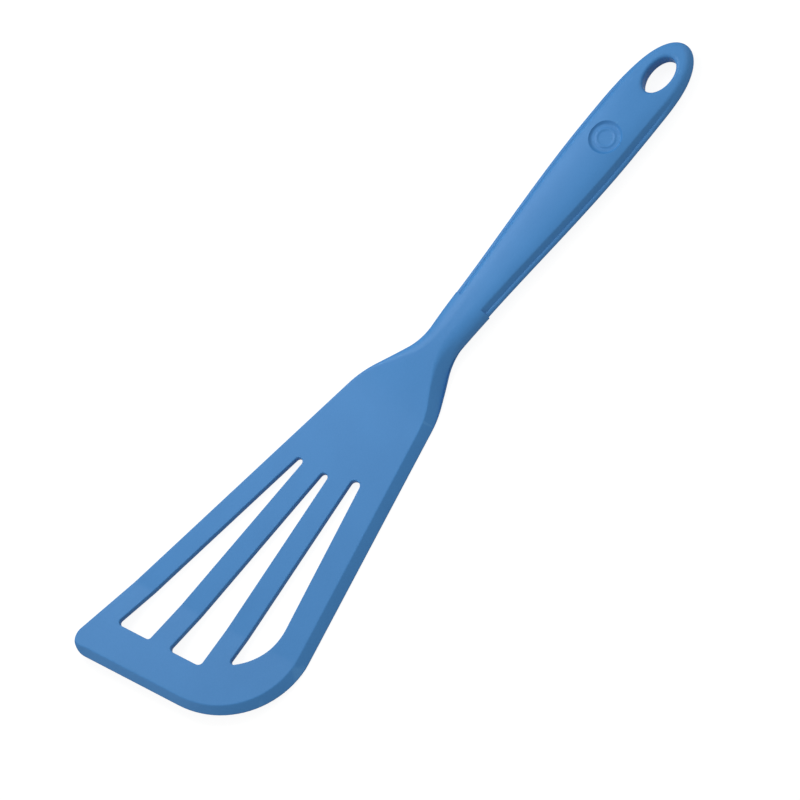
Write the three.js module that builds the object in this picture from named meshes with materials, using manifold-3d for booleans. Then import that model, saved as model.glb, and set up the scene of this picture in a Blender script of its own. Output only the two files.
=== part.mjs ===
// Slotted silicone turner: a soft slotted blade and a soft handle moulded over one stiff core.
// Millimetres, +Z up. X runs from the butt of the handle to the front edge, Y to the bevelled
// side, and the joint between handle and blade lies at X = 0 until the part is centred.
import * as THREE from 'three';
import { mergeVertices } from 'three/addons/utils/BufferGeometryUtils.js';
import Module from 'manifold-3d';

const wasm = await Module();
wasm.setup();

// Handle in plan, measured over the bead that runs round it
const handleLength = 126.9;
const handleWidth = 24.4;
const swellFromButt = 47;
const buttFullness = 3.75;
const handleJointWidth = 16.1;
const handleJointTaper = 0.045;

// Handle in section: a bead at mid height, between two pads with sloping walls
const jointPadHeight = 8.2;
const swellPadHeight = 8.4;
const buttPadHeight = 7.2;
const padWallRun = 1.8;
const padCrownRadius = 34;
const beadBreadth = 1.15;
const beadHeight = 2.5;
const beadLevel = 0.58;
const beadHalfAngle = 106;
const beadFadeFromButt = 34;
const beadEndFromButt = 10;

// Hang hole through the butt
const hangHoleFromButt = 15.7;
const hangHoleLength = 16.1;
const hangHoleWidth = 9.8;
const hangHoleRimRadius = 1.2;

// Round recess in the palm swell, with a plain raised ring on its floor
const recessDiameter = 13.6;
const recessDepth = 1.6;
const recessWallRun = 1.4;
const ringDiameter = 8.6;
const ringBreadth = 0.9;
const ringHeight = 0.3;

// Neck collar of the blade, which stands a little proud of the handle at the joint
const collarStep = 0.2;
const neckWaistWidth = 14.4;
const waistFromJoint = 21.2;
const waistRadius = 26;
const neckThickness = 8.7;
const neckTopRun = 6.8;
const neckTopDrop = 4.4;
const neckUnderRadius = 4.2;
const neckLevelLength = 6;
const shoulderAngle = 25;
const shoulderRadius = 45;

// Blade outline: two flaring sides and a skew front edge
const bladeLength = 187;
const leftSideOffset = 11.9;
const leftFlareAngle = 8.1;
const rightSideOffset = 7.9;
const rightFlareAngle = 12.1;
const frontSkewAngle = 11.2;
const leftCornerRadius = 6.5;
const rightCornerRadius = 35.4;

// Blade section: a flat plate, a lip that rises in front of a crease, and bevels on the right
// side and the front
const plateThickness = 3.4;
const lipLength = 33.6;
const lipRiseAngle = 7;
const bevelEdge = 0.6;
const sideBevelWidth = 3.6;
const frontBevelWidth = 2.9;
const undersideRadius = 0.4;
const leftEdgeRadius = 0.6;

// Slots: three tapering openings left by two bars and the rim
const leftRim = 8;
const rightRimAtJoint = 15.1;
const rightRimTaperAngle = 0.6;
const frontRim = 16.4;
const barWidth = 8.5;
const innerBarOffset = 7.2;
const innerBarAngle = 1.06;
const outerBarOffset = 6.2;
const outerBarAngle = 6.14;
const slotTipRadius = 1.52;
const outerSlotTipRadius = 2;
const slotCornerRadius = 1.5;
const outerSlotFrontRim = 21.8;
const outerSlotEndAngle = 42;
const outerSlotSweepRadius = 24;
const outerSlotNoseRadius = 1.3;

// Stiff core: a spine in handle and neck, and a thin paddle with fingers in the blade
const coreClearance = 0.3;
const spineWidth = 8;
const spineThickness = 3.5;
const spineEndFromHole = 8;
const spineToeFromWaist = 24;
const toeRelief = 0.1;
const paddleThickness = 1.2;
const paddleFloor = 0.9;
const paddleRootFromWaist = 2;
const paddleSideSkin = 3;
const paddleBevelSkin = 2;
const paddleSlotSkin = 2;
const fingerEndFromLip = 6;
const keyHoleDiameter = 4.5;
const keyHolePitch = 25;
const keyHoleCount = 3;

// Fineness of curves, and how far a cutter runs past what it cuts
const arcSteps = 14;
const holeSteps = 40;
const taperSteps = 18;
const neckRows = 22;
const bottomRoundSteps = 4;
const topRoundSteps = 7;
const beadSteps = 8;
const crownColumns = 8;
const cutterRun = 5;

const radians = THREE.MathUtils.degToRad;
const lerp = THREE.MathUtils.lerp;

// Straight lines in plan, as a point and a direction

function lineAt(x, y, degrees) {
  const angle = radians(degrees);
  return {
    point: new THREE.Vector2(x, y),
    along: new THREE.Vector2(Math.cos(angle), Math.sin(angle)),
  };
}

// A copy of the line moved to the left of its direction
function shifted(line, distance) {
  const leftward = new THREE.Vector2(-line.along.y, line.along.x);
  return { point: line.point.clone().addScaledVector(leftward, distance), along: line.along };
}

function crossing(first, second) {
  const between = second.point.clone().sub(first.point);
  const run = between.cross(second.along) / first.along.cross(second.along);
  return first.point.clone().addScaledVector(first.along, run);
}

function corner(point, radius) {
  return { point, radius };
}

// Half the angle between the two sides that meet at a corner
function halfAngleAt(previous, current, next) {
  const back = previous.point.clone().sub(current.point);
  return back.angleTo(next.point.clone().sub(current.point)) / 2;
}

// The arc that rounds one corner, touching both of its sides at a distance from the corner
function cornerArc(previous, current, next, touch) {
  const back = previous.point.clone().sub(current.point).normalize();
  const forth = next.point.clone().sub(current.point).normalize();
  const inward = back.clone().add(forth).normalize();
  const toCentre = touch / Math.cos(halfAngleAt(previous, current, next));
  const centre = current.point.clone().addScaledVector(inward, toCentre);
  const start = current.point.clone().addScaledVector(back, touch).sub(centre);
  const end = current.point.clone().addScaledVector(forth, touch).sub(centre);
  const sweep = Math.atan2(start.cross(end), start.dot(end));
  const arc = [];
  for (let step = 0; step <= arcSteps; step += 1) {
    arc.push(start.clone().rotateAround(new THREE.Vector2(), (sweep * step) / arcSteps).add(centre));
  }
  return arc;
}

// One arc for each corner of a closed outline. A radius gives way where its side is too short
// for it and for the radius of the next corner.
function cornerArcs(corners) {
  const before = (index) => corners.at(index - 1);
  const after = (index) => corners[(index + 1) % corners.length];
  const wanted = corners.map((current, index) => (
    current.radius / Math.tan(halfAngleAt(before(index), current, after(index)))
  ));
  const room = corners.map((current, index) => {
    const side = current.point.distanceTo(after(index).point);
    return side / (wanted[index] + wanted[(index + 1) % corners.length]);
  });
  return corners.map((current, index) => {
    const touch = wanted[index] * Math.min(1, room[index], room.at(index - 1));
    return cornerArc(before(index), current, after(index), touch);
  });
}

// Meshes and solids

function geometryOf(vertices, triangles) {
  const geometry = new THREE.BufferGeometry();
  geometry.setAttribute('position', new THREE.Float32BufferAttribute(vertices, 3));
  geometry.setIndex(triangles);
  return geometry;
}

function solidOf(geometry) {
  const bare = geometry.clone();
  bare.deleteAttribute('normal');
  bare.deleteAttribute('uv');
  const merged = mergeVertices(bare, 1e-5);
  return new wasm.Manifold(new wasm.Mesh({
    numProp: 3,
    vertProperties: new Float32Array(merged.getAttribute('position').array),
    triVerts: new Uint32Array(merged.getIndex().array),
  }));
}

function meshOf(name, solid, material) {
  const { vertProperties, triVerts } = solid.getMesh();
  const geometry = geometryOf(Array.from(vertProperties), Array.from(triVerts));
  geometry.computeVertexNormals();
  const mesh = new THREE.Mesh(geometry, material);
  mesh.name = name;
  return mesh;
}

// A plate of a plan outline, standing from one height to another
function plateSolid(outline, low, high) {
  const plate = new THREE.ExtrudeGeometry(new THREE.Shape(outline), {
    depth: high - low,
    bevelEnabled: false,
  });
  return solidOf(plate.translate(0, 0, low));
}

// A bar of a side profile in X and Z, centred on the long axis
function profileSolid(profile, width) {
  const bar = new THREE.ExtrudeGeometry(new THREE.Shape(profile), {
    depth: width,
    bevelEnabled: false,
  });
  return solidOf(bar.rotateX(Math.PI / 2).translate(0, width / 2, 0));
}

// A solid of revolution about a vertical axis at one place on the long axis
function turnedSolid(profile, x, lengthening = 1) {
  const turned = new THREE.LatheGeometry(profile, holeSteps);
  turned.rotateX(Math.PI / 2);
  turned.scale(lengthening, 1, 1);
  return solidOf(turned.translate(x, 0, 0));
}

// The edge of a moulded body at one point of its outline: pairs of inset and height, from the
// flat underside round the bottom edge, up the side and over the top edge or the bevel
function edgeSection({ bottomRadius, sideTop, topRun, top, straightness }) {
  const section = [];
  for (let step = 0; step <= bottomRoundSteps; step += 1) {
    const turn = (Math.PI / 2) * (step / bottomRoundSteps);
    section.push([bottomRadius * (1 - Math.sin(turn)), bottomRadius * (1 - Math.cos(turn))]);
  }
  for (let step = 0; step <= topRoundSteps; step += 1) {
    const share = step / topRoundSteps;
    const turn = (Math.PI / 2) * share;
    const inset = topRun * lerp(1 - Math.cos(turn), share, straightness);
    const height = lerp(sideTop, top, lerp(Math.sin(turn), share, straightness));
    section.push([inset, height]);
  }
  return section;
}

// Directions in which the edge of an open outline is drawn in: square to the joint face at its
// two ends, along the crease where a point lies on one, and square to the outline elsewhere
function outwardDirections(outline, crease, creasePair) {
  const last = outline.length - 1;
  return outline.map((point, index) => {
    if (index === 0 || index === last) {
      return new THREE.Vector2(0, Math.sign(point.y));
    }
    const before = point.clone().sub(outline[index - 1]).normalize();
    const after = outline[index + 1].clone().sub(point).normalize();
    const mean = before.add(after).normalize();
    const outward = new THREE.Vector2(mean.y, -mean.x);
    if (!creasePair.includes(index)) {
      return outward;
    }
    return crease.along.clone().divideScalar(crease.along.dot(outward));
  });
}

// A body with a flat joint face at X = 0 and a crowned top. The outline runs counter-clockwise
// from one side of the joint face to the other. Its first points, in pairs with its last ones,
// carry rows across the body, and flat caps close what lies beyond, one on each side of a crease.
function mouldedBody({ outline, sections, rowCount, crownAt, liftAt, crease, creasePair = [] }) {
  const vertices = [];
  const triangles = [];
  const outward = outwardDirections(outline, crease, creasePair);
  const last = outline.length - 1;
  const levels = sections[0].length;
  const addVertex = (x, y, height) => {
    vertices.push(x, y, height + liftAt(new THREE.Vector2(x, y)));
    return vertices.length / 3 - 1;
  };
  const addStrip = (near, far) => {
    for (let step = 0; step < near.length - 1; step += 1) {
      triangles.push(near[step], far[step], far[step + 1], near[step], far[step + 1], near[step + 1]);
    }
  };
  const place = (vertex) => new THREE.Vector3().fromArray(vertices, vertex * 3);

  const rim = outline.map((point, index) => sections[index].map(([inset, height]) => addVertex(
    point.x - outward[index].x * inset,
    point.y - outward[index].y * inset,
    height,
  )));
  for (let index = 0; index < last; index += 1) {
    addStrip(rim[index], rim[index + 1]);
  }

  const topRows = [];
  for (let row = 0; row < rowCount - 1; row += 1) {
    const ends = [rim[row][levels - 1], rim[last - row][levels - 1]];
    const crown = crownAt(place(ends[0]).x, place(ends[0]).distanceTo(place(ends[1])));
    const inner = Array.from({ length: crownColumns - 1 }, (_, column) => {
      const share = (column + 1) / crownColumns;
      const point = place(ends[0]).lerp(place(ends[1]), share);
      return addVertex(point.x, point.y, point.z + crown * 4 * share * (1 - share));
    });
    topRows.push([ends[0], ...inner, ends[1]]);
  }
  for (let row = 0; row < topRows.length - 1; row += 1) {
    addStrip(topRows[row], topRows[row + 1]);
  }
  const lastRow = topRows.at(-1);
  const closing = [rim[rowCount - 1][levels - 1], rim[last - rowCount + 1][levels - 1]];
  for (let column = 0; column < crownColumns; column += 1) {
    const end = closing[column < crownColumns / 2 ? 0 : 1];
    triangles.push(lastRow[column], end, lastRow[column + 1]);
  }
  triangles.push(lastRow[crownColumns / 2], closing[0], closing[1]);
  for (let row = 0; row < rowCount - 1; row += 1) {
    addStrip([rim[last - row][0], rim[row][0]], [rim[last - row - 1][0], rim[row + 1][0]]);
  }

  const addCap = (loop, flip) => {
    const plan = loop.map((vertex) => new THREE.Vector2(vertices[vertex * 3], vertices[vertex * 3 + 1]));
    THREE.ShapeUtils.triangulateShape(plan, []).forEach(([a, b, c]) => {
      triangles.push(loop[a], loop[flip ? c : b], loop[flip ? b : c]);
    });
  };
  const cuts = [rowCount - 1, ...creasePair.slice(0, 1)];
  const returns = [last - rowCount + 1, ...creasePair.slice(1)];
  cuts.forEach((cut, index) => {
    const ahead = index + 1 < cuts.length
      ? [...rim.slice(cut, cuts[index + 1] + 1), ...rim.slice(returns[index + 1], returns[index] + 1)]
      : rim.slice(cut, returns[index] + 1);
    addCap(ahead.map((edge) => edge[levels - 1]), false);
    addCap(ahead.map((edge) => edge[0]), true);
  });

  const jointLoop = [...rim[0], ...topRows[0].slice(1, -1), ...rim[last].toReversed()];
  const [low, high] = [place(rim[0][0]), place(topRows[0][crownColumns / 2])];
  const hub = addVertex(low.x, high.y, (low.z + high.z) / 2);
  jointLoop.forEach((vertex, index) => {
    triangles.push(hub, vertex, jointLoop[(index + 1) % jointLoop.length]);
  });
  return solidOf(geometryOf(vertices, triangles));
}

// Blade lines that the outline, the slots and the core share

const leftSide = lineAt(0, -leftSideOffset, -leftFlareAngle);
const rightSide = lineAt(0, rightSideOffset, rightFlareAngle);
const frontEdge = lineAt(bladeLength, 0, 90 + frontSkewAngle);
const leftShoulder = lineAt(waistFromJoint, -neckWaistWidth / 2, -shoulderAngle);
const rightShoulder = lineAt(waistFromJoint, neckWaistWidth / 2, shoulderAngle);
const innerBar = lineAt(0, -innerBarOffset, -innerBarAngle);
const outerBar = lineAt(0, -outerBarOffset, outerBarAngle);
const outerWall = lineAt(0, rightSideOffset - rightRimAtJoint, rightFlareAngle + rightRimTaperAngle);
const lipCrease = shifted(frontEdge, lipLength);

// How far a place lies in front of the crease, and how far the lip rises there

function beyondCrease(point) {
  return point.clone().sub(lipCrease.point).cross(lipCrease.along);
}

function lipLift(point) {
  return Math.tan(radians(lipRiseAngle)) * Math.max(0, beyondCrease(point));
}

// The three slots, widened all round by a margin

function slotOutlines(margin) {
  const half = barWidth / 2;
  const tip = slotTipRadius + margin;
  const nose = slotCornerRadius + margin;
  const front = shifted(frontEdge, frontRim - margin);
  const walls = [
    [shifted(leftSide, leftRim - margin), shifted(innerBar, -half + margin)],
    [shifted(innerBar, half - margin), shifted(outerBar, -half + margin)],
  ];
  const straight = walls.map(([left, right]) => cornerArcs([
    corner(crossing(left, right), tip),
    corner(crossing(left, front), nose),
    corner(crossing(right, front), nose),
  ]).flat());
  const left = shifted(outerBar, half - margin);
  const right = shifted(outerWall, margin);
  const end = crossing(shifted(outerBar, half), shifted(frontEdge, outerSlotFrontRim));
  const sweep = shifted(lineAt(end.x, end.y, 180 - outerSlotEndAngle), -margin);
  return [...straight, cornerArcs([
    corner(crossing(left, right), outerSlotTipRadius + margin),
    corner(crossing(left, sweep), outerSlotNoseRadius + margin),
    corner(crossing(right, sweep), outerSlotSweepRadius + margin),
  ]).flat()];
}

// Stiff core, grown on all sides by a clearance for the cavity that it lies in

function coreSolid(grow) {
  const spineLow = (neckThickness - spineThickness) / 2 - grow;
  const spineHigh = spineLow + spineThickness + 2 * grow;
  const spineStart = hangHoleFromButt + hangHoleLength / 2 + spineEndFromHole - handleLength;
  const paddleLow = paddleFloor - grow;
  const paddleHigh = paddleLow + paddleThickness + 2 * grow;
  const toe = waistFromJoint + spineToeFromWaist + grow;
  const spine = profileSolid([
    new THREE.Vector2(spineStart - grow, spineLow),
    new THREE.Vector2(0, spineLow),
    new THREE.Vector2(toe, paddleLow + toeRelief),
    new THREE.Vector2(toe, paddleHigh - toeRelief),
    new THREE.Vector2(0, spineHigh),
    new THREE.Vector2(spineStart - grow, spineHigh),
  ], spineWidth + 2 * grow);

  const half = spineWidth / 2 + grow;
  const leftSkin = paddleSideSkin - grow;
  const rightSkin = sideBevelWidth + paddleBevelSkin - grow;
  const left = shifted(leftSide, leftSkin);
  const right = shifted(rightSide, -rightSkin);
  const leftRoot = shifted(leftShoulder, leftSkin);
  const rightRoot = shifted(rightShoulder, -rightSkin);
  const front = shifted(frontEdge, lipLength + fingerEndFromLip - grow);
  const rootX = waistFromJoint - paddleRootFromWaist - grow;
  const paddle = plateSolid([
    new THREE.Vector2(rootX, -half),
    crossing(leftRoot, lineAt(0, -half, 0)),
    crossing(leftRoot, left),
    crossing(left, front),
    crossing(right, front),
    crossing(right, rightRoot),
    crossing(rightRoot, lineAt(0, half, 0)),
    new THREE.Vector2(rootX, half),
  ], paddleLow, paddleHigh);

  let core = spine.add(paddle);
  slotOutlines(paddleSlotSkin - grow).forEach((outline) => {
    core = core.subtract(plateSolid(outline, paddleLow - cutterRun, paddleHigh + cutterRun));
  });
  for (let key = 1; key <= keyHoleCount; key += 1) {
    const hole = new THREE.CylinderGeometry(
      keyHoleDiameter / 2 - grow,
      keyHoleDiameter / 2 - grow,
      neckThickness,
      holeSteps / 2,
    );
    hole.rotateX(Math.PI / 2).translate(-keyHolePitch * (key - 0.5), 0, neckThickness / 2);
    core = core.subtract(solidOf(hole));
  }
  return core;
}

// Handle: pads and bead, palm swell, rounded butt, hang hole and round recess

// How far a station lies from the palm swell towards the butt
function buttShare(x) {
  return THREE.MathUtils.smoothstep(swellFromButt - handleLength - x, 0, swellFromButt);
}

// Height of the upper pad at its corners
function padTop(x) {
  const swellShare = THREE.MathUtils.smoothstep(-x, 0, handleLength - swellFromButt);
  return lerp(lerp(jointPadHeight, swellPadHeight, swellShare), buttPadHeight, buttShare(x));
}

// How far the middle of the upper pad stands above its corners
function padCrown(x, width) {
  return (1 - buttShare(x)) * width ** 2 / (8 * padCrownRadius);
}

// How far the corner of a pad lies in from the outline
function padInset() {
  return beadBreadth * (1 - Math.cos(radians(beadHalfAngle))) + padWallRun;
}

// The edge of the handle in pairs of inset and height: up the wall of the lower pad, round the
// bead and up the wall of the upper pad. Towards the butt they melt into one round edge.
function padSection(x) {
  const top = padTop(x);
  const section = [[padInset(), 0]];
  for (let step = 0; step <= beadSteps; step += 1) {
    const turn = radians(beadHalfAngle) * (2 * step / beadSteps - 1);
    section.push([
      beadBreadth * (1 - Math.cos(turn)),
      beadLevel * top + (beadHeight / 2) * Math.sin(turn),
    ]);
  }
  section.push([padInset(), top]);
  const kept = THREE.MathUtils.smoothstep(handleLength + x, beadEndFromButt, beadFadeFromButt);
  return section.map(([inset, height], level) => {
    const turn = Math.PI * (level / (section.length - 1) - 0.5);
    return [
      lerp(padInset() * (1 - Math.cos(turn)), inset, kept),
      lerp((top / 2) * (1 + Math.sin(turn)), height, kept),
    ];
  });
}

function handleOutline() {
  const swell = swellFromButt - handleLength;
  const wide = handleWidth / 2;
  const narrow = handleJointWidth / 2;
  const third = -swell / 3;
  const side = new THREE.CubicBezierCurve(
    new THREE.Vector2(0, narrow),
    new THREE.Vector2(-third, narrow + handleJointTaper * third),
    new THREE.Vector2(swell + third, wide),
    new THREE.Vector2(swell, wide),
  ).getPoints(taperSteps);
  for (let step = 1; step < arcSteps; step += 1) {
    const turn = (Math.PI / 2) * (step / arcSteps);
    const share = Math.sin(turn) ** (2 / buttFullness);
    side.push(new THREE.Vector2(swell - swellFromButt * share, wide * Math.cos(turn)));
  }
  const butt = new THREE.Vector2(-handleLength, 0);
  const mirrored = side.map((point) => new THREE.Vector2(point.x, -point.y)).reverse();
  return [...side, butt, ...mirrored];
}

function hangHoleCutter() {
  const bore = hangHoleWidth / 2;
  const place = hangHoleFromButt - handleLength;
  const top = padTop(place);
  const profile = [
    new THREE.Vector2(0, -cutterRun),
    new THREE.Vector2(bore + hangHoleRimRadius, -cutterRun),
  ];
  for (const [face, into] of [[0, 1], [top, -1]]) {
    for (let step = 0; step <= topRoundSteps; step += 1) {
      const turn = (Math.PI / 2) * (into > 0 ? step / topRoundSteps : 1 - step / topRoundSteps);
      profile.push(new THREE.Vector2(
        bore + hangHoleRimRadius * (1 - Math.sin(turn)),
        face + into * hangHoleRimRadius * (1 - Math.cos(turn)),
      ));
    }
  }
  profile.push(new THREE.Vector2(bore + hangHoleRimRadius, top + cutterRun));
  profile.push(new THREE.Vector2(0, top + cutterRun));
  return turnedSolid(profile, place, hangHoleLength / hangHoleWidth);
}

function recessCutter() {
  const place = swellFromButt - handleLength;
  const padWidth = handleWidth - 2 * padInset();
  const floor = padTop(place) + padCrown(place, padWidth) - recessDepth;
  const brim = recessDiameter / 2;
  const slope = recessWallRun / recessDepth;
  const dish = turnedSolid([
    new THREE.Vector2(0, floor),
    new THREE.Vector2(brim - recessWallRun, floor),
    new THREE.Vector2(brim + slope * cutterRun, floor + recessDepth + cutterRun),
    new THREE.Vector2(0, floor + recessDepth + cutterRun),
  ], place);
  const ringOuter = ringDiameter / 2;
  const ringInner = ringOuter - ringBreadth;
  const ring = turnedSolid([
    new THREE.Vector2(ringInner, floor - ringHeight),
    new THREE.Vector2(ringOuter, floor - ringHeight),
    new THREE.Vector2(ringOuter, floor + ringHeight),
    new THREE.Vector2(ringInner, floor + ringHeight),
    new THREE.Vector2(ringInner, floor - ringHeight),
  ], place);
  return dish.subtract(ring);
}

function handleSolid() {
  const outline = handleOutline();
  return mouldedBody({
    outline,
    sections: outline.map((point) => padSection(point.x)),
    rowCount: (outline.length - 1) / 2,
    crownAt: padCrown,
    liftAt: () => 0,
  })
    .subtract(hangHoleCutter())
    .subtract(recessCutter())
    .subtract(coreSolid(coreClearance));
}

// Blade: collar and neck, plate and lip, bevels and slots

function bladeSolid() {
  const jointHalf = handleJointWidth / 2 + collarStep;
  const jointEnds = [new THREE.Vector2(0, -jointHalf), new THREE.Vector2(0, jointHalf)];
  const [, leftWaist, leftBend, leftCorner, rightCorner, rightBend, rightWaist] = cornerArcs([
    corner(jointEnds[0], 0),
    corner(new THREE.Vector2(waistFromJoint, -neckWaistWidth / 2), waistRadius),
    corner(crossing(leftShoulder, leftSide), shoulderRadius),
    corner(crossing(leftSide, frontEdge), leftCornerRadius),
    corner(crossing(frontEdge, rightSide), rightCornerRadius),
    corner(crossing(rightShoulder, rightSide), shoulderRadius),
    corner(new THREE.Vector2(waistFromJoint, neckWaistWidth / 2), waistRadius),
    corner(jointEnds[1], 0),
  ]);
  const left = [jointEnds[0], ...leftWaist, ...leftBend];
  const right = [...rightBend, ...rightWaist, jointEnds[1]];
  const rootEnd = Math.max(left.at(-1).x, right[0].x);

  // Rows of the neck lie at the same stations on both sides
  const sideAt = (run, side, x) => {
    const next = run.findIndex((point, index) => (
      index > 0 && (point.x - x) * (run[index - 1].x - x) <= 0
    ));
    if (next < 0) {
      return crossing(side, lineAt(x, 0, 90)).y;
    }
    const [from, to] = [run[next - 1], run[next]];
    return lerp(from.y, to.y, (x - from.x) / (to.x - from.x));
  };
  const stations = Array.from({ length: neckRows }, (_, row) => (rootEnd * row) / (neckRows - 1));
  const leftRoot = stations.map((x) => new THREE.Vector2(x, sideAt(left, leftSide, x)));
  const rightRoot = stations.map((x) => new THREE.Vector2(x, sideAt(right, rightSide, x))).reverse();

  // Every place on the rim has its share of the bevel and the width that the bevel has there
  const smooth = (index, count) => THREE.MathUtils.smoothstep(index / (count - 1), 0, 1);
  const rim = creasedRim([
    ...leftRoot.map((point) => ({ point, bevel: 0, run: frontBevelWidth })),
    ...leftCorner.map((point, index) => ({
      point,
      bevel: smooth(index, leftCorner.length),
      run: frontBevelWidth,
    })),
    ...rightCorner.map((point, index) => ({
      point,
      bevel: 1,
      run: lerp(frontBevelWidth, sideBevelWidth, smooth(index, rightCorner.length)),
    })),
    ...rightRoot.map((point) => ({ point, bevel: 1, run: sideBevelWidth })),
  ]);

  // The neck passes smoothly into the plate, and each edge into its own finish
  const neckShare = (x) => 1 - THREE.MathUtils.smoothstep(x, neckLevelLength, rootEnd);
  const sections = rim.map(({ point, bevel, run }) => {
    const neck = neckShare(point.x);
    const sideTop = lerp(plateThickness - leftEdgeRadius, bevelEdge, bevel);
    return edgeSection({
      bottomRadius: lerp(undersideRadius, neckUnderRadius, neck),
      sideTop: lerp(sideTop, neckThickness - neckTopDrop, neck),
      topRun: lerp(lerp(leftEdgeRadius, run, bevel), neckTopRun, neck),
      top: lerp(plateThickness, neckThickness, neck),
      straightness: bevel * (1 - neck),
    });
  });
  let blade = mouldedBody({
    outline: rim.map(({ point }) => point),
    sections,
    rowCount: neckRows,
    crownAt: () => 0,
    liftAt: lipLift,
    crease: lipCrease,
    creasePair: rim.flatMap(({ creased }, index) => (creased ? [index] : [])),
  });
  slotOutlines(0).forEach((slot) => {
    blade = blade.subtract(plateSolid(slot, -cutterRun, plateThickness + lipLength));
  });
  return blade.subtract(coreSolid(coreClearance));
}

// The rim with a point added on each side where the crease crosses it
function creasedRim(rim) {
  return rim.flatMap((current, index) => {
    const next = rim[index + 1];
    if (!next || beyondCrease(current.point) * beyondCrease(next.point) >= 0) {
      return [current];
    }
    const here = beyondCrease(current.point);
    const share = here / (here - beyondCrease(next.point));
    const crossed = {
      point: current.point.clone().lerp(next.point, share),
      bevel: lerp(current.bevel, next.bevel, share),
      run: lerp(current.run, next.run, share),
      creased: true,
    };
    return [current, crossed];
  });
}

const silicone = new THREE.MeshStandardMaterial({ color: 0x558ac2, roughness: 0.5, metalness: 0 });
const nylon = new THREE.MeshStandardMaterial({ color: 0x3a3f45, roughness: 0.6, metalness: 0 });

const turner = new THREE.Group();
turner.add(meshOf('blade', bladeSolid(), silicone));
turner.add(meshOf('handle', handleSolid(), silicone));
turner.add(meshOf('core', coreSolid(0), nylon));

// The origin lies under the middle of the part
const extent = new THREE.Box3().setFromObject(turner);
const middle = extent.getCenter(new THREE.Vector3());
turner.position.set(-middle.x, -middle.y, -extent.min.z);

export default turner;
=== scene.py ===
import math

import bpy
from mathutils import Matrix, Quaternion, Vector
from mathutils.geometry import delaunay_2d_cdt
from mathutils.kdtree import KDTree


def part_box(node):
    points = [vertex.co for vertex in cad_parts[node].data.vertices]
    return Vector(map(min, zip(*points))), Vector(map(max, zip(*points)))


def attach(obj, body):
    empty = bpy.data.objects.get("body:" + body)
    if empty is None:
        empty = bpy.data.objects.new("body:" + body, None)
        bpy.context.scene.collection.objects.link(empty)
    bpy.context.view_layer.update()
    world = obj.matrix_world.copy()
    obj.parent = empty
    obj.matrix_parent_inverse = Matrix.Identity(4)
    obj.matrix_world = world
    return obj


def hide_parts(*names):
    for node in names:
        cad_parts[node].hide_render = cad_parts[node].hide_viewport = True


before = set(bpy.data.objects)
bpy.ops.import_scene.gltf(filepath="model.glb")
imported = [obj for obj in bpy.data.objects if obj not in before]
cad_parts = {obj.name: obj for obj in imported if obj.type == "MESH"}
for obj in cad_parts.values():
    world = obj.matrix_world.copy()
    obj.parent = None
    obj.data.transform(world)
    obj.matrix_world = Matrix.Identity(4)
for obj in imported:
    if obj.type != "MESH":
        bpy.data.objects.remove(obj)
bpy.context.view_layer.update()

# Camera: a long lens two metres from the turner, high above its bevelled side and rolled so that
# the blade points to the lower left. The picture is square.
picture_width_px = 800
focal_length_px = 5340
sensor_width_mm = 36.0
view_distance = 1.9965
view_azimuth = math.radians(168.81)
view_elevation = math.radians(69.039)
view_roll = math.radians(-40.096)
view_target = Vector((0.01133, -0.0005, 0.0))

camera = bpy.data.objects.new("camera", bpy.data.cameras.new("camera"))
bpy.context.scene.collection.objects.link(camera)
bpy.context.scene.camera = camera
camera.data.sensor_width = sensor_width_mm
camera.data.lens = sensor_width_mm * focal_length_px / picture_width_px
towards_camera = Vector((
    math.sin(view_azimuth) * math.cos(view_elevation),
    -math.cos(view_azimuth) * math.cos(view_elevation),
    math.sin(view_elevation),
))
camera.location = view_target + view_distance * towards_camera
rolled = towards_camera.to_track_quat("Z", "Y") @ Quaternion((0.0, 0.0, 1.0), view_roll)
camera.rotation_euler = rolled.to_euler()
bpy.context.scene.view_settings.view_transform = "Standard"

# Core: the stiff insert that blade and handle are moulded over, injected in black glass-filled
# nylon. The silicone hides it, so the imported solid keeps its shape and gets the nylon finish.
nylon_black = (0.030, 0.036, 0.044, 1.0)
nylon_grey = (0.055, 0.063, 0.074, 1.0)
nylon_roughness = 0.5
glass_fibres_per_metre = 900.0
fibre_detail = 3.0
fibre_stretch = (0.12, 1.0, 1.0)
fibre_roughness = 0.2
fibre_depth = 0.00004
fibre_strength = 0.4


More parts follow.
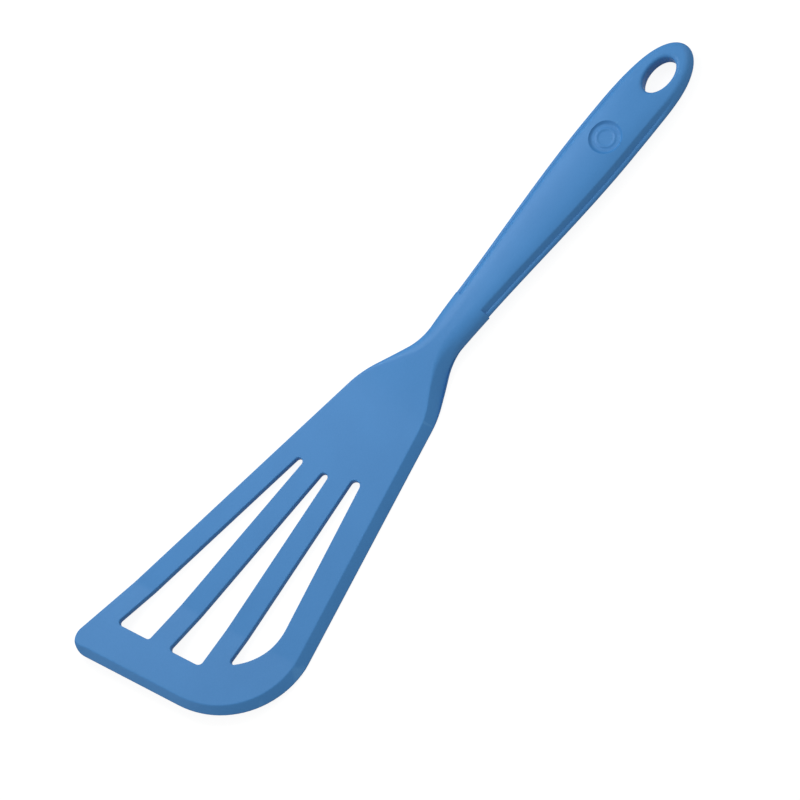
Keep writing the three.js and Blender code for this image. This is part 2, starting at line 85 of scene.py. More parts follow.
class Value:
    """A socket of a node tree. Arithmetic on it adds Math nodes to the same tree."""

    def __init__(self, tree, socket=None):
        self.tree = tree
        self.socket = socket

    def node(self, kind, settings=None, sockets=None, output=0):
        """Adds a node, makes its settings, fills its sockets and gives one of its outputs."""
        made = self.tree.nodes.new(kind)
        for name, setting in (settings or {}).items():
            setattr(made, name, setting)
        for name, value in (sockets or {}).items():
            if isinstance(value, Value):
                self.tree.links.new(value.socket, made.inputs[name])
            else:
                made.inputs[name].default_value = value
        return Value(self.tree, made.outputs[output] if made.outputs else None)

    def also(self, output):
        """Another output of the same node."""
        return Value(self.tree, self.socket.node.outputs[output])

    def math(self, operation, *others):
        operands = dict(enumerate((self, *others)))
        return self.node("ShaderNodeMath", {"operation": operation}, operands)

    def reflected(self, operation, other):
        """The same with this value as the second operand."""
        return self.node("ShaderNodeMath", {"operation": operation}, {0: other, 1: self})

    def __add__(self, other):
        return self.math("ADD", other)

    def __radd__(self, other):
        return self.reflected("ADD", other)

    def __sub__(self, other):
        return self.math("SUBTRACT", other)

    def __rsub__(self, other):
        return self.reflected("SUBTRACT", other)

    def __mul__(self, other):
        return self.math("MULTIPLY", other)

    def __rmul__(self, other):
        return self.reflected("MULTIPLY", other)

    def __truediv__(self, other):
        return self.math("DIVIDE", other)

    def __pow__(self, other):
        return self.math("POWER", other)

    def share(self, low, high, blend="LINEAR"):
        """How far this value has come from one limit to another, held between 0 and 1."""
        limits = {"Value": self, "From Min": low, "From Max": high}
        return self.node("ShaderNodeMapRange", {"interpolation_type": blend}, limits)

    def blended(self, first, second):
        """A colour between two, with this value as the share of the second."""
        colours = {"Factor": self, 6: first, 7: second}
        return self.node("ShaderNodeMix", {"data_type": "RGBA"}, colours, 2)

    def noise(self, place, per_metre, detail):
        sockets = {"Vector": place, "Scale": per_metre, "Detail": detail}
        return self.node("ShaderNodeTexNoise", None, sockets)


def new_finish(name):
    material = bpy.data.materials.new(name)
    material.use_nodes = True
    material.node_tree.nodes.clear()
    return material, Value(material.node_tree)


def nylon_finish():
    material, nodes = new_finish("glass_filled_nylon")
    place = nodes.node("ShaderNodeTexCoord", output="Object")
    along_flow = nodes.node("ShaderNodeMapping", None, {"Vector": place, "Scale": fibre_stretch})
    fibres = nodes.noise(along_flow, glass_fibres_per_metre, fibre_detail)
    bump = nodes.node("ShaderNodeBump", None, {
        "Strength": fibre_strength,
        "Distance": fibre_depth,
        "Height": fibres,
    })
    surface = nodes.node("ShaderNodeBsdfPrincipled", None, {
        "Base Color": fibres.blended(nylon_black, nylon_grey),
        "Roughness": nylon_roughness + fibre_roughness * fibres,
        "Normal": bump,
    })
    nodes.node("ShaderNodeOutputMaterial", None, {"Surface": surface})
    return material


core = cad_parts["core"]
core.data.materials.clear()
core.data.materials.append(nylon_finish())

# Handle: the soft grip, blue silicone moulded over the spine of the core. A half-round bead runs
# round it at mid height, between a crowned upper pad and a flat lower one with sloping walls. It
# ends in a full round butt with an oval hang hole, and has a round recess with a plain raised ring.
silicone_deep = (0.042, 0.186, 0.443, 1.0)
silicone_pale = (0.055, 0.226, 0.517, 1.0)
silicone_worn = (0.085, 0.275, 0.565, 1.0)
silicone_ior = 1.42
silicone_specular = 0.06
grip_roughness = 0.45
pigment_clouds_per_metre = 60.0
cloud_detail = 3.0
cloud_pigment = 0.65
cloud_roughness = 0.08
satin_specks_per_metre = 1500.0
speck_detail = 2.0
speck_pigment = 0.35
speck_roughness = 0.06
mould_grain_per_metre = 7000.0
mould_grain_detail = 2.0
mould_grain_depth = 0.00002
mould_grain_strength = 0.25
satin_weight = 0.46
satin_speckle = 0.14
satin_fade = (0.3, 0.6)
satin_roughness = 0.5
satin_ior = 1.5
worn_edges = (0.54, 0.6)
worn_from_joint = (0.003, 0.008)
worn_patches = (0.4, 0.6)
wear_strength = 0.5
wear_least = 0.4
wear_polish = 0.08

joint_place = Vector((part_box("handle")[1].x, sum(corner.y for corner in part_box("handle")) / 2, 0.0))
handle_sizes = {
    "Length": 0.1269,
    "Swell From Butt": 0.047,
    "Swell Width": 0.0244,
    "Joint Width": 0.0161,
    "Joint Taper": 0.045,
    "Butt Fullness": 3.75,
    "Pad Height": 0.00765,
    "Butt Pad Height": 0.0072,
    "Bead Level": 0.63,
    "Bead Height": 0.0025,
    "Bead Breadth": 0.00115,
    "Bead Fade From Butt": 0.034,
    "Bead End From Butt": 0.01,
    "Pad Wall Run": 0.00155,
    "Pad Corner": 0.15,
    "Pad Shoulder": 0.0004,
    "Crown Radius": 0.05,
    "Hole From Butt": 0.0157,
    "Hole Length": 0.0161,
    "Hole Width": 0.0098,
    "Hole Rim Radius": 0.0012,
    "Recess Diameter": 0.014,
    "Recess Depth": 0.0013,
    "Recess Wall Run": 0.0017,
    "Ring Diameter": 0.0086,
    "Ring Breadth": 0.0016,
    "Ring Height": 0.00026,
}
joint_columns = 10
side_columns = 90
butt_columns = 60
rows_of_handle = {
    "under corner": 5,
    "under wall": 3,
    "bead": 20,
    "wall": 4,
    "corner": 6,
    "top": 46,
    "rim": 8,
    "bore": 5,
    "lower rim": 6,
    "underside": 20,
}
bead_half_arc = 106.0
square_to_joint = 0.1
least_pad_width = 0.0005
pad_shoulder_fullness = 4.0
ring_slope = 0.6
recess_columns = 96
recess_rows = 64
cutter_height = 0.004
cutter_overreach = 0.25
weld_distance = 1e-6
grip_sharpest_turn = 22.0


def silicone_finish(name, roughness):
    """Cloudy blue pigment, a satin skin with a fine mould grain, and slight wear on open edges."""
    material, nodes = new_finish(name)
    place = nodes.node("ShaderNodeTexCoord", output="Object")
    clouds = nodes.noise(place, pigment_clouds_per_metre, cloud_detail)
    specks = nodes.noise(place, satin_specks_per_metre, speck_detail)
    grain = nodes.noise(place, mould_grain_per_metre, mould_grain_detail)
    pigment = cloud_pigment * clouds + speck_pigment * specks
    facing = nodes.node("ShaderNodeLayerWeight", None, {"Blend": 0.5}, "Facing")
    satin = (satin_weight + satin_speckle * specks) * (1.0 - facing.share(*satin_fade))
    edges = nodes.node("ShaderNodeNewGeometry", output="Pointiness").share(*worn_edges)
    along = nodes.node("ShaderNodeSeparateXYZ", None, {0: place})
    open_edge = (along - joint_place.x).math("ABSOLUTE").share(*worn_from_joint)
    patches = wear_least + (1.0 - wear_least) * clouds.share(*worn_patches)
    wear = wear_strength * edges * open_edge * patches
    colour = wear.blended(pigment.blended(silicone_deep, silicone_pale), silicone_worn)
    uneven = cloud_roughness * (clouds - 0.5) + speck_roughness * (specks - 0.5)
    bump = nodes.node("ShaderNodeBump", None, {
        "Strength": mould_grain_strength,
        "Distance": mould_grain_depth,
        "Height": grain,
    })
    surface = nodes.node("ShaderNodeBsdfPrincipled", None, {
        "Base Color": colour,
        "Roughness": roughness + uneven - wear_polish * wear,
        "IOR": silicone_ior,
        "Specular IOR Level": silicone_specular,
        "Coat Weight": satin,
        "Coat Roughness": satin_roughness,
        "Coat IOR": satin_ior,
        "Normal": bump,
    })
    nodes.node("ShaderNodeOutputMaterial", None, {"Surface": surface})
    return material


def handle_tree(sizes):
    """The node tree of the grip, with a named input for each size."""
    tree = bpy.data.node_groups.new("grip", "GeometryNodeTree")
    tree.interface.new_socket("Grip", in_out="OUTPUT", socket_type="NodeSocketGeometry")
    for name in sizes:
        tree.interface.new_socket(name, in_out="INPUT", socket_type="NodeSocketFloat")
    tree.interface.new_socket("Joint", in_out="INPUT", socket_type="NodeSocketVector")
    tree.interface.new_socket("Silicone", in_out="INPUT", socket_type="NodeSocketMaterial")
    nodes = Value(tree)
    given = nodes.node("NodeGroupInput")
    size = {name: given.also(name) for name in sizes}
    quarter_turn = math.pi / 2
    half_bead = math.radians(bead_half_arc)

    def grid(columns, rows):
        """A flat sheet, with the column and the row of each of its points."""
        counts = {"Size X": 1.0, "Size Y": 1.0, "Vertices X": columns + 1, "Vertices Y": rows + 1}
        sheet = nodes.node("GeometryNodeMeshGrid", None, counts)
        position = nodes.node("GeometryNodeInputPosition")
        where = nodes.node("ShaderNodeSeparateXYZ", None, {0: position})
        return sheet, (where + 0.5) * columns, (where.also("Y") + 0.5) * rows

    def wrapped(sheet, x, y, z):
        """A sheet moved into its shape, with the edges that meet welded."""
        place = nodes.node("ShaderNodeCombineXYZ", None, {"X": x, "Y": y, "Z": z})
        moved = nodes.node("GeometryNodeSetPosition", None, {"Geometry": sheet, "Position": place})
        welding = {"Geometry": moved, "Distance": weld_distance}
        return nodes.node("GeometryNodeMergeByDistance", None, welding)

    def smooth(value):
        return value.share(0.0, 1.0, "SMOOTHSTEP")

    length = size["Length"]
    butt = size["Swell From Butt"]
    swell = length - butt
    wide = 0.5 * size["Swell Width"]
    narrow = 0.5 * size["Joint Width"]
    fullness = size["Butt Fullness"]
    rim = size["Hole Rim Radius"]

    def to_butt_end(x):
        return (0.0 - x).share(swell, length)

    def level_at(x):
        fall = size["Pad Height"] - size["Butt Pad Height"]
        return size["Pad Height"] - fall * smooth(to_butt_end(x))

    def side_half_width(taper):
        flare = size["Joint Taper"] * swell * taper * (1.0 - taper) ** 2.0
        return narrow + (wide - narrow) * smooth(taper) + flare

    # Round the outline: along the joint face, down one side, round the butt and back
    columns = 2 * (joint_columns + side_columns + butt_columns)
    sheet, around, row = grid(columns, sum(rows_of_handle.values()))
    column = columns / 2 - (around - columns / 2).math("ABSOLUTE")
    hand = (columns / 2 - around).math("SIGN")
    on_side = column.math("GREATER_THAN", joint_columns + 0.5)
    taper = column.share(joint_columns + 1, joint_columns + side_columns)
    butt_turn = quarter_turn * column.share(joint_columns + side_columns, columns / 2)
    to_butt = butt_turn.math("SINE")
    closing = (1.0 - to_butt ** fullness).math("MAXIMUM", 0.0).math("SQRT")
    outline_x = 0.0 - swell * taper - butt * to_butt
    outline_y = side_half_width(taper) * closing
    flare_slope = size["Joint Taper"] * swell * (1.0 - taper) * (1.0 - 3.0 * taper)
    side_slope = (6.0 * (wide - narrow) * taper * (1.0 - taper) + flare_slope) / swell
    butt_slope = wide * fullness * to_butt ** (fullness - 1.0) / (2.0 * butt)
    lean = side_slope * taper.share(0.0, square_to_joint) - butt_slope
    lean_length = (lean * lean + closing * closing).math("SQRT")
    edge_level = level_at(outline_x)
    bead_rise = size["Bead Height"] * math.sin(half_bead)
    foot = size["Bead Level"] * edge_level - 0.5 * bead_rise
    wall_rise = edge_level - foot - bead_rise

    # Round the section: under the edge, up the side, over the top, down the hole and back
    progress = {}
    first_row = 0
    for name, count in rows_of_handle.items():
        progress[name] = row.share(first_row, first_row + count)
        first_row += count
    rim_turn = quarter_turn * progress["rim"]
    lower_turn = quarter_turn * progress["lower rim"]
    bead_turn = half_bead * (2.0 * progress["bead"] - 1.0)
    bead_swell = size["Bead Breadth"] * (bead_turn.math("COSINE") - math.cos(half_bead))
    groove = size["Bead Breadth"] * (1.0 - math.cos(half_bead))
    run = size["Pad Wall Run"]
    softened = size["Pad Corner"]
    under_corner = progress["under corner"]
    corner = progress["corner"]
    full_inset = groove + run * (1.0 + softened)
    under_inset = run * (2.0 * softened * under_corner + (1.0 - softened) * progress["under wall"])
    top_inset = run * (2.0 * softened * corner + (1.0 - softened) * progress["wall"])
    edge_height = (
        foot * (softened * under_corner * under_corner + (1.0 - softened) * progress["under wall"])
        + 0.5 * (bead_rise + size["Bead Height"] * bead_turn.math("SINE"))
        + wall_rise * ((1.0 - softened) * progress["wall"] + softened * corner * (2.0 - corner))
    )
    inset = full_inset - under_inset - bead_swell + top_inset

    # Towards the butt the bead and the walls melt into one round edge
    edge_parts = ("under corner", "under wall", "bead", "wall", "corner")
    edge_rows = sum(rows_of_handle[part] for part in edge_parts)
    edge_turn = math.pi * row.share(0, edge_rows) - quarter_turn
    bead_fade = length - size["Bead Fade From Butt"]
    bead_end = length - size["Bead End From Butt"]
    melted = (0.0 - outline_x).share(bead_fade, bead_end, "SMOOTHSTEP")
    round_inset = full_inset * (1.0 - edge_turn.math("COSINE"))
    round_height = 0.5 * edge_level * (1.0 + edge_turn.math("SINE"))
    inset = inset + melted * (round_inset - inset)
    edge_height = edge_height + melted * (round_height - edge_height)
    edge_x = outline_x - on_side * inset * lean / lean_length
    side_y = outline_y - inset * closing / lean_length
    joint_y = (narrow - full_inset) * column / joint_columns
    edge_y = joint_y + on_side * (side_y - joint_y)

    # Draw the section in towards the oval hole
    hole_x = size["Hole From Butt"] - length
    stretch = size["Hole Length"] / size["Hole Width"]
    from_hole = edge_x - hole_x
    reach = ((from_hole / stretch) ** 2.0 + edge_y ** 2.0).math("SQRT")
    flared = rim * (1.0 - rim_turn.math("SINE")) + rim * (1.0 - lower_turn.math("COSINE"))
    hole_share = (0.5 * size["Hole Width"] + flared) / reach
    inward = 1.0 + (progress["top"] - progress["underside"]) * (hole_share - 1.0)
    x = hole_x + from_hole * inward
    y = edge_y * inward

    # Heights, with a crown across the upper pad that dies out towards the butt
    butt_share = to_butt_end(x)
    half_width = side_half_width((0.0 - x).share(0.0, swell))
    half_width = half_width * (1.0 - butt_share ** fullness).math("MAXIMUM", 0.0).math("SQRT")
    level = level_at(x)
    arch = (half_width * half_width - y * y).math("MAXIMUM", 0.0) / (2.0 * size["Crown Radius"])
    across = y / (half_width - groove - run).math("MAXIMUM", least_pad_width)
    shoulder_share = (1.0 - across ** pad_shoulder_fullness).math("MAXIMUM", 0.0)
    shoulder = size["Pad Shoulder"] * shoulder_share
    crown = (arch + shoulder) * (1.0 - smooth(butt_share))
    z = (
        edge_height
        + (level - edge_level) * progress["top"]
        + crown * progress["wall"] * (1.0 - progress["bore"])
        - rim * (1.0 - rim_turn.math("COSINE"))
        - (level - 2.0 * rim) * progress["bore"]
        - rim * lower_turn.math("SINE")
    )
    body = wrapped(sheet, x, y * hand, z)

    # A turned cutter for the recess, which leaves the ring standing on its floor
    sheet, around, row = grid(recess_columns, recess_rows)
    lid_row = recess_rows - 2
    cap_row = recess_rows - 1
    turn = 2.0 * math.pi / recess_columns * around
    over = cutter_overreach * size["Recess Depth"]
    floor_radius = 0.5 * size["Recess Diameter"] - size["Recess Wall Run"]
    wall_run = size["Recess Wall Run"] * (1.0 + cutter_overreach)
    radius = (floor_radius + wall_run) * row.share(0, lid_row)
    ring_radius = 0.5 * (size["Ring Diameter"] - size["Ring Breadth"])
    from_ring = (radius - ring_radius).math("ABSOLUTE")
    ring = 1.0 - from_ring.share(0.0, ring_slope * size["Ring Breadth"], "SMOOTHSTEP")
    wall = (radius - floor_radius) / wall_run
    lid = row.share(lid_row, cap_row)
    height = (
        size["Pad Height"] + size["Pad Shoulder"] + wide * wide / (2.0 * size["Crown Radius"])
        - size["Recess Depth"]
        + size["Ring Height"] * ring
        + (size["Recess Depth"] + over) * smooth(wall)
        + cutter_height * lid
    )
    radius = radius * (1.0 - row.share(cap_row, recess_rows))
    cutter_x = radius * turn.math("COSINE") - swell
    cutter_y = radius * turn.math("SINE")
    cutter = wrapped(sheet, cutter_x, cutter_y, height)

    cut = nodes.node("GeometryNodeMeshBoolean", {"operation": "DIFFERENCE", "solver": "EXACT"}, {
        "Mesh 1": body,
        "Mesh 2": cutter,
    })
    joint = given.also("Joint")
    silicone = given.also("Silicone")
    placed = nodes.node("GeometryNodeSetPosition", None, {"Geometry": cut, "Offset": joint})
    real = nodes.node("GeometryNodeRealizeInstances", None, {"Geometry": placed})
    covered = nodes.node("GeometryNodeSetMaterial", None, {"Geometry": real, "Material": silicone})
    nodes.node("NodeGroupOutput", None, {"Grip": covered})
    return tree


def grown_piece(name, tree, values):
    """A piece whose mesh a node tree makes once, from values named after the tree's inputs."""
    piece = bpy.data.objects.new(name, bpy.data.meshes.new(name))
    bpy.context.scene.collection.objects.link(piece)
    modifier = piece.modifiers.new("shape", "NODES")
    modifier.node_group = tree
    for socket in tree.interface.items_tree:
        if socket.in_out == "INPUT":
            modifier[socket.identifier] = values[socket.name]
    grown = piece.evaluated_get(bpy.context.evaluated_depsgraph_get())
    mesh = bpy.data.meshes.new_from_object(grown)
    piece.modifiers.remove(modifier)
    piece.data = mesh
    return piece


def shade_softly(mesh, sharpest):
    """Smooth shading, apart from edges that turn more sharply than an angle."""
    mesh.shade_smooth()
    mesh.set_sharp_from_angle(angle=math.radians(sharpest))


handle = grown_piece("handle_silicone", handle_tree(handle_sizes), {
    **handle_sizes,
    "Joint": joint_place,
    "Silicone": silicone_finish("grip_silicone", grip_roughness),
})
shade_softly(handle.data, grip_sharpest_turn)
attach(handle, "root")
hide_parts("handle")

# Blade: the slotted head with its neck collar, moulded in one piece of the same blue silicone over
# the paddle of the core. Two flaring sides and a skew front edge frame three tapering slots, a lip
# rises in front of a crease, and the right side and the front are bevelled to a thin edge.
blade_length = 0.18699
left_side_offset = 0.0119
left_flare = 8.1
right_side_offset = 0.0079
right_flare = 12.1
front_skew = 11.2
left_corner_radius = 0.0065
right_corner_radius = 0.0354
joint_half_width = 0.00825
waist_half_width = 0.0072
waist_from_joint = 0.0212
waist_radius = 0.026
shoulder_angle = 25.0
shoulder_radius = 0.045

neck_thickness = 0.0087
neck_top_run = 0.0068
neck_top_drop = 0.0041
neck_under_radius = 0.0045
neck_level_length = 0.006
neck_past_shoulder = 0.006
plate_thickness = 0.0034
plate_under_radius = 0.0004
left_edge_radius = 0.0006
bevel_edge = 0.0006
side_bevel_width = 0.0036
front_bevel_width = 0.0029
bevel_softness = 0.00035
bevel_from_joint = 0.012
bevel_full_from_joint = 0.034
lip_length = 0.0336
lip_rise = 7.0
crease_softness = 0.0006

left_rim = 0.008
front_rim = 0.0164
bar_width = 0.0085
inner_bar_offset = 0.0072
inner_bar_angle = 1.06
outer_bar_offset = 0.0062
outer_bar_angle = 6.14
right_rim_at_joint = 0.0151
right_rim_taper = 0.6
slot_tip_radius = 0.00152
middle_slot_tip_radius = 0.0016
outer_slot_tip_radius = 0.00207
slot_corner_radius = 0.0015
middle_slot_corner_radius = 0.0021
outer_slot_front_rim = 0.0211
outer_slot_end_angle = 42.0
outer_slot_sweep_radius = 0.024
outer_slot_nose_radius = 0.0013
slot_edge_radius = 0.0004

blade_roughness = 0.47
blade_sharpest_turn = 40.0
outline_spacing = 0.0014
corner_steps = 24
edge_steps = 5
joint_steps = 6
guard_breadth = 0.0002
surface_spacing = 0.002
surface_length = 0.215
surface_left = 0.046
surface_right = 0.056
surface_from_edge = 0.45
surface_from_crease = 0.0024
crease_rows = (-0.0018, -0.0009, -0.0004, 0.0, 0.0004, 0.0009, 0.0018)
crease_spacing = 0.0013
crease_steps_right = 60
crease_steps_left = 40
fill_inside = 1
fill_tolerance = 1e-8


def line_at(x, y, degrees):
    """A line as a point and a direction, in plan from the middle of the joint face."""
    angle = math.radians(degrees)
    return Vector((x, y)), Vector((math.cos(angle), math.sin(angle)))


def shifted(line, distance):
    """A copy of a line, moved to the left of its direction."""
    point, along = line
    return point + distance * Vector((-along.y, along.x)), along


def crossing(first, second):
    apart = second[0] - first[0]
    return first[0] + first[1] * (apart.cross(second[1]) / first[1].cross(second[1]))


def corner_arc(before, corner, after, radius):
    """The arc that rounds one corner between two others."""
    back = (before - corner).normalized()
    forth = (after - corner).normalized()
    half_angle = back.angle(forth) / 2
    touch = radius / math.tan(half_angle)
    centre = corner + (back + forth).normalized() * (radius / math.sin(half_angle))
    start = corner + back * touch - centre
    end = corner + forth * touch - centre
    sweep = math.atan2(start.cross(end), start.dot(end))
    arc = []
    for step in range(corner_steps + 1):
        angle = sweep * step / corner_steps
        turned = Vector((
            start.x * math.cos(angle) - start.y * math.sin(angle),
            start.x * math.sin(angle) + start.y * math.cos(angle),
        ))
        arc.append(centre + turned)
    return arc


def straight_run(start, end):
    """Evenly spaced points between two ends, without the ends."""
    count = max(1, round((end - start).length / outline_spacing))
    return [start.lerp(end, step / count) for step in range(1, count)]


left_side = line_at(0.0, -left_side_offset, -left_flare)
right_side = line_at(0.0, right_side_offset, right_flare)
front_edge = line_at(blade_length, 0.0, 90.0 + front_skew)
left_shoulder = line_at(waist_from_joint, -waist_half_width, -shoulder_angle)
right_shoulder = line_at(waist_from_joint, waist_half_width, shoulder_angle)
inner_bar = line_at(0.0, -inner_bar_offset, -inner_bar_angle)
outer_bar = line_at(0.0, -outer_bar_offset, outer_bar_angle)
outer_wall = line_at(0.0, right_side_offset - right_rim_at_joint, right_flare + right_rim_taper)
lip_crease = shifted(front_edge, lip_length)

blade_corners = [
    (Vector((0.0, -joint_half_width)), 0.0),
    (Vector((waist_from_joint, -waist_half_width)), waist_radius),
    (crossing(left_shoulder, left_side), shoulder_radius),
    (crossing(left_side, front_edge), left_corner_radius),
    (crossing(front_edge, right_side), right_corner_radius),
    (crossing(right_shoulder, right_side), shoulder_radius),
    (Vector((waist_from_joint, waist_half_width)), waist_radius),
    (Vector((0.0, joint_half_width)), 0.0),
]
left_front = 3
right_front = 4


def blade_outline():
    """Points round the blade from one side of the joint face to the other, each with how far its
    edge is a bevel and how far that bevel has widened from the front's to the side's."""
    arcs = [[blade_corners[0][0]]]
    for index in range(1, len(blade_corners) - 1):
        before = blade_corners[index - 1][0]
        after = blade_corners[index + 1][0]
        arcs.append(corner_arc(before, blade_corners[index][0], after, blade_corners[index][1]))
    arcs.append([blade_corners[-1][0]])
    front_corner = blade_corners[left_front][0]
    along_front = (blade_corners[right_front][0] - front_corner).normalized()
    outline = []
    for index, arc in enumerate(arcs):
        for step, point in enumerate(arc):
            bevel = float(index > left_front)
            if index == left_front:
                behind_front = abs((point - front_corner).cross(along_front))
                bevel = max(0.0, 1.0 - behind_front / front_bevel_width)
            widening = float(index > right_front)
            if index == right_front:
                widening = step / corner_steps
            outline.append((point, bevel, widening))
        if index < len(arcs) - 1:
            last = outline[-1]
            for point in straight_run(arc[-1], arcs[index + 1][0]):
                outline.append((point, last[1], last[2]))
    return outline


def beyond_crease(point):
    return (point - lip_crease[0]).cross(lip_crease[1])


def lip_lift(point):
    ahead = beyond_crease(point)
    return math.tan(math.radians(lip_rise)) * (ahead + math.hypot(ahead, crease_softness)) / 2


def smoothstep(value, low, high):
    share = min(1.0, max(0.0, (value - low) / (high - low)))
    return share * share * (3.0 - 2.0 * share)


neck_end = neck_past_shoulder + max(
    crossing(left_shoulder, left_side).x,
    crossing(right_shoulder, right_side).x,
)


def neck_share(x):
    """1 on the neck, 0 on the plate."""
    return 1.0 - smoothstep(x, neck_level_length, neck_end)


def between(low, high, share):
    return low + (high - low) * share


def thickness_at(x):
    return between(plate_thickness, neck_thickness, neck_share(x))


def top_height(point):
    return thickness_at(point.x) + lip_lift(point)


def edge_profile(under, side_top, run, top, bevel):
    """Pairs of inset and height from the flat underside, up the side and over the top edge, which
    is a quarter round, a bevel with softened ends, or something between the two."""
    pairs = [(under + guard_breadth, 0.0)]
    for step in range(edge_steps + 1):
        turn = math.pi / 2 * step / edge_steps
        pairs.append((under * (1.0 - math.sin(turn)), under * (1.0 - math.cos(turn))))
    slope = Vector((run, top - side_top)).normalized() * bevel_softness
    low = Vector((0.0, side_top))
    high = Vector((run, top))
    low_bend = (Vector((0.0, side_top - bevel_softness)), low, low + slope)
    high_bend = (high - slope, high, Vector((run + bevel_softness, top)))
    soft_bevel = []
    for start, corner, end in (low_bend, high_bend):
        for step in range(edge_steps + 1):
            share = step / edge_steps
            soft_bevel.append(start.lerp(corner, share).lerp(corner.lerp(end, share), share))
    last = len(soft_bevel) - 1
    for step, point in enumerate(soft_bevel):
        turn = math.pi / 2 * step / last
        inset = between(run * (1.0 - math.cos(turn)), point.x, bevel)
        height = between(between(side_top, top, math.sin(turn)), point.y, bevel)
        pairs.append((inset, height))
    pairs.append((pairs[-1][0] + guard_breadth, top))
    return pairs


def slot_loop(corners):
    """A closed outline with rounded corners, counter-clockwise."""
    arcs = []
    for index, (corner, radius) in enumerate(corners):
        after = corners[(index + 1) % len(corners)][0]
        arcs.append(corner_arc(corners[index - 1][0], corner, after, radius))
    loop = []
    for index, arc in enumerate(arcs):
        loop += arc + straight_run(arc[-1], arcs[(index + 1) % len(arcs)][0])
    return loop


def blade_slots():
    """Outlines of the inner, the middle and the outer slot."""
    front = shifted(front_edge, front_rim)
    half_bar = bar_width / 2
    left = shifted(left_side, left_rim)
    right = shifted(inner_bar, -half_bar)
    loops = [slot_loop([
        (crossing(left, right), slot_tip_radius),
        (crossing(left, front), slot_corner_radius),
        (crossing(right, front), slot_corner_radius),
    ])]
    left = shifted(inner_bar, half_bar)
    right = shifted(outer_bar, -half_bar)
    loops.append(slot_loop([
        (crossing(left, right), middle_slot_tip_radius),
        (crossing(left, front), slot_corner_radius),
        (crossing(right, front), middle_slot_corner_radius),
    ]))
    left = shifted(outer_bar, half_bar)
    end = crossing(left, shifted(front_edge, outer_slot_front_rim))
    sweep = line_at(end.x, end.y, 180.0 - outer_slot_end_angle)
    loops.append(slot_loop([
        (crossing(left, outer_wall), outer_slot_tip_radius),
        (end, outer_slot_nose_radius),
        (crossing(outer_wall, sweep), outer_slot_sweep_radius),
    ]))
    return loops


def outward_directions(points, closed):
    """Directions square to an outline that runs counter-clockwise. An open one ends square to the
    joint face."""
    directions = []
    for index, point in enumerate(points):
        if not closed and index in (0, len(points) - 1):
            directions.append(Vector((0.0, math.copysign(1.0, point.y))))
            continue
        after = points[(index + 1) % len(points)]
        mean = (point - points[index - 1]).normalized() + (after - point).normalized()
        directions.append(Vector((mean.y, -mean.x)).normalized())
    return directions


def encloses(loop, place):
    """Whether a closed outline goes round a place."""
    inside = False
    for start, end in zip(loop, loop[1:] + loop[:1]):
        if (start.y > place.y) != (end.y > place.y):
            if place.x < start.x + (end.x - start.x) * (place.y - start.y) / (end.y - start.y):
                inside = not inside
    return inside


def surface_places():
    """Places in a triangular grid, with closer rows along the crease."""
    places = []
    step = surface_spacing
    for column in range(1, int(surface_length / step)):
        for row in range(-int(surface_left / step), int(surface_right / step)):
            place = Vector((column * step, (row + 0.5 * (column % 2)) * step))
            if abs(beyond_crease(place)) > surface_from_crease:
                places.append(place)
    for ahead in crease_rows:
        start, along = shifted(lip_crease, -ahead)
        for count in range(-crease_steps_left, crease_steps_right):
            places.append(start + along * (count * crease_spacing))
    return places


